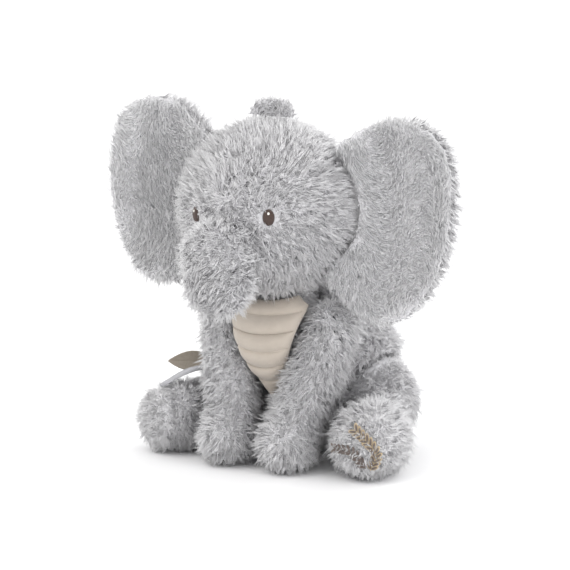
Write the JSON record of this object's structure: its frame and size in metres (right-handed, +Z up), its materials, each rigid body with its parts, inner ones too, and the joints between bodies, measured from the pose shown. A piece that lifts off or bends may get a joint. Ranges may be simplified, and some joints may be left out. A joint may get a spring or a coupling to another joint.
{
  "type": "stuffed elephant",
  "caption": "Plush elephant sitting up, with wide ears on sewn roots, short trunk, soft head, four stuffed legs, quilted bib and leaf tags.",
  "frame": {"origin": "the middle of the flat seat under the torso, where the toy sits", "axes": "+Z is up, -Y is where the elephant faces, +X is its own left"},
  "size_m": [0.2603, 0.23, 0.243],
  "materials": {
    "grey_fur": "long curly pile plush, light warm grey",
    "smooth_grey_pile": "short smooth pile, light grey",
    "fibre_stuffing": "white polyester fibre",
    "pellet_cloth": "cotton pouch of pellets",
    "cream_velour": "cream tan velour, quilted in tiers",
    "dark_thread": "satin stitch embroidery thread",
    "white_thread": "satin stitch embroidery thread",
    "tan_thread": "embroidery thread",
    "tan_cloth": "woven cloth leaf",
    "grey_velour": "short pile velour leaf"
  },
  "bodies": {
    "torso": {"torso_cover": "grey_fur", "torso_stuffing": "fibre_stuffing", "pellet_pouch": "pellet_cloth", "bib_panel": "cream_velour"},
    "neck": {"neck_pad": "fibre_stuffing"},
    "head": {"head_cover": "grey_fur", "head_stuffing": "fibre_stuffing", "left_eye": "dark_thread", "right_eye": "dark_thread", "left_eye_highlight": "white_thread", "right_eye_highlight": "white_thread"},
    "trunk": {"trunk_cover": "grey_fur", "trunk_stuffing": "fibre_stuffing"},
    "tuft": {"head_tuft": "grey_fur"},
    "left_ear": {"left_ear_back": "grey_fur", "left_ear_wadding": "fibre_stuffing", "left_ear_front": "smooth_grey_pile"},
    "right_ear": {"right_ear_back": "grey_fur", "right_ear_wadding": "fibre_stuffing", "right_ear_front": "smooth_grey_pile"},
    "left_front_leg": {"left_front_leg_cover": "grey_fur", "left_front_leg_stuffing": "fibre_stuffing"},
    "right_front_leg": {"right_front_leg_cover": "grey_fur", "right_front_leg_stuffing": "fibre_stuffing"},
    "left_hind_leg": {"left_hind_leg_cover": "grey_fur", "left_hind_leg_stuffing": "fibre_stuffing", "left_hind_leg_sole": "grey_fur", "sole_dark_sprig": "dark_thread", "sole_tan_sprig": "tan_thread"},
    "right_hind_leg": {"right_hind_leg_cover": "grey_fur", "right_hind_leg_stuffing": "fibre_stuffing", "right_hind_leg_sole": "grey_fur"},
    "leaf_tags": {"tan_leaf": "tan_cloth", "grey_leaf": "grey_velour"},
    "tail": {"tail": "grey_fur"}
  },
  "joints": [
    {"name": "head_turn", "type": "hinge", "parent": "torso", "child": "neck", "pos_m": [0, -0.042, 0.097], "axis": [0, 0, 1], "range_deg": [-15, 15], "stiffness_Nm_per_rad": 0.6},
    {"name": "head_nod", "type": "hinge", "parent": "neck", "child": "head", "pos_m": [0, -0.042, 0.097], "axis": [1, 0, 0], "range_deg": [-8, 8], "stiffness_Nm_per_rad": 1.2},
    {"name": "trunk_curl", "type": "hinge", "parent": "head", "child": "trunk", "pos_m": [0, -0.107, 0.146], "axis": [1, 0, 0], "range_deg": [-15, 12], "stiffness_Nm_per_rad": 0.08},
    {"name": "left_ear_flap", "type": "hinge", "parent": "head", "child": "left_ear", "pos_m": [0.054, -0.061, 0.168], "axis": [0, 0, 1], "range_deg": [-22, 22], "stiffness_Nm_per_rad": 0.12},
    {"name": "right_ear_flap", "type": "hinge", "parent": "head", "child": "right_ear", "pos_m": [-0.054, -0.061, 0.168], "axis": [0, 0, 1], "range_deg": [-22, 22], "stiffness_Nm_per_rad": 0.12},
    {"name": "tuft_flop", "type": "hinge", "parent": "head", "child": "tuft", "pos_m": [0, -0.062, 0.227], "axis": [1, 0, 0], "range_deg": [-20, 20], "stiffness_Nm_per_rad": 0.004},
    {"name": "left_front_leg_swing", "type": "hinge", "parent": "torso", "child": "left_front_leg", "pos_m": [0.04, -0.052, 0.091], "axis": [1, 0, 0], "range_deg": [-25, 0], "stiffness_Nm_per_rad": 0.4},
    {"name": "right_front_leg_swing", "type": "hinge", "parent": "torso", "child": "right_front_leg", "pos_m": [-0.04, -0.052, 0.091], "axis": [1, 0, 0], "range_deg": [-25, 0], "stiffness_Nm_per_rad": 0.4},
    {"name": "left_hind_leg_swing", "type": "hinge", "parent": "torso", "child": "left_hind_leg", "pos_m": [0.05, -0.006, 0.037], "axis": [1, 0, 0], "range_deg": [-8, 40], "stiffness_Nm_per_rad": 0.5},
    {"name": "right_hind_leg_swing", "type": "hinge", "parent": "torso", "child": "right_hind_leg", "pos_m": [-0.05, -0.006, 0.037], "axis": [1, 0, 0], "range_deg": [-8, 40], "stiffness_Nm_per_rad": 0.5},
    {"name": "leaf_lift", "type": "hinge", "parent": "right_hind_leg", "child": "leaf_tags", "pos_m": [-0.06, -0.044, 0.0555], "axis": [-0.6, 0.8, 0], "range_deg": [0, 30], "stiffness_Nm_per_rad": 0.003},
    {"name": "tail_lift", "type": "hinge", "parent": "torso", "child": "tail", "pos_m": [0, 0.058, 0.034], "axis": [1, 0, 0], "range_deg": [0, 40], "stiffness_Nm_per_rad": 0.01}
  ]
}
